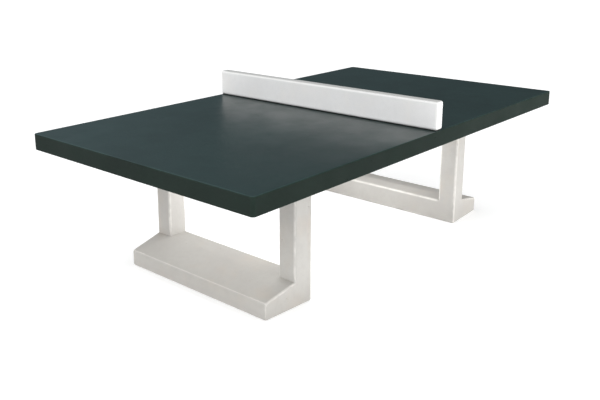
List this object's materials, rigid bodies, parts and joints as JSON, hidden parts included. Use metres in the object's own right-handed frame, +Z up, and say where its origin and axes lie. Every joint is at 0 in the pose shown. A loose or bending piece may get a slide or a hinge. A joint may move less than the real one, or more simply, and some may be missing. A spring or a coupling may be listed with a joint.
{
  "type": "ping pong table",
  "caption": "Fixed outdoor ping pong table: a thick dark concrete slab with a solid white net bar, on two white U-shaped concrete supports with sloping toes.",
  "frame": {"origin": "on the ground under the middle of the table", "axes": "+X along the table's length, +Y across it along the net, +Z up"},
  "size_m": [2.74, 1.525, 0.91],
  "materials": {
    "tinted_concrete": "ground and sealed, satin",
    "white_concrete": "smooth cast, matt",
    "rubber": "matt",
    "reinforcing_steel": "mill scale, ribbed",
    "galvanised_steel": "galvanised",
    "grout": "rough",
    "grey_plastic": "moulded, matt"
  },
  "bodies": {
    "root": {"bearing_pad_1": "rubber", "bearing_pad_2": "rubber", "bearing_pad_3": "rubber", "bearing_pad_4": "rubber", "cage_spacer_left_1": "grey_plastic", "cage_spacer_left_2": "grey_plastic", "cage_spacer_left_3": "grey_plastic", "cage_spacer_left_4": "grey_plastic", "cage_spacer_right_1": "grey_plastic", "cage_spacer_right_2": "grey_plastic", "cage_spacer_right_3": "grey_plastic", "cage_spacer_right_4": "grey_plastic", "dowel_1": "galvanised_steel", "dowel_2": "galvanised_steel", "dowel_3": "galvanised_steel", "dowel_4": "galvanised_steel", "dowel_grout_1": "grout", "dowel_grout_2": "grout", "dowel_grout_3": "grout", "dowel_grout_4": "grout", "dowel_sleeve_1": "galvanised_steel", "dowel_sleeve_2": "galvanised_steel", "dowel_sleeve_3": "galvanised_steel", "dowel_sleeve_4": "galvanised_steel", "lifting_socket_1": "galvanised_steel", "lifting_socket_2": "galvanised_steel", "lifting_socket_3": "galvanised_steel", "lifting_socket_4": "galvanised_steel", "net_armature": "galvanised_steel", "net_bar": "white_concrete", "net_bedding_strip": "rubber", "slab_mat": "reinforcing_steel", "slab_spacer_1": "grey_plastic", "slab_spacer_2": "grey_plastic", "slab_spacer_3": "grey_plastic", "slab_spacer_4": "grey_plastic", "slab_spacer_5": "grey_plastic", "slab_spacer_6": "grey_plastic", "socket_plug_1": "grey_plastic", "socket_plug_2": "grey_plastic", "socket_plug_3": "grey_plastic", "socket_plug_4": "grey_plastic", "stud_nut_1": "galvanised_steel", "stud_nut_2": "galvanised_steel", "stud_nut_3": "galvanised_steel", "stud_washer_1": "galvanised_steel", "stud_washer_2": "galvanised_steel", "stud_washer_3": "galvanised_steel", "support_cage_left": "reinforcing_steel", "support_cage_right": "reinforcing_steel", "support_left": "white_concrete", "support_right": "white_concrete", "tabletop_slab": "tinted_concrete"}
  },
  "joints": []
}
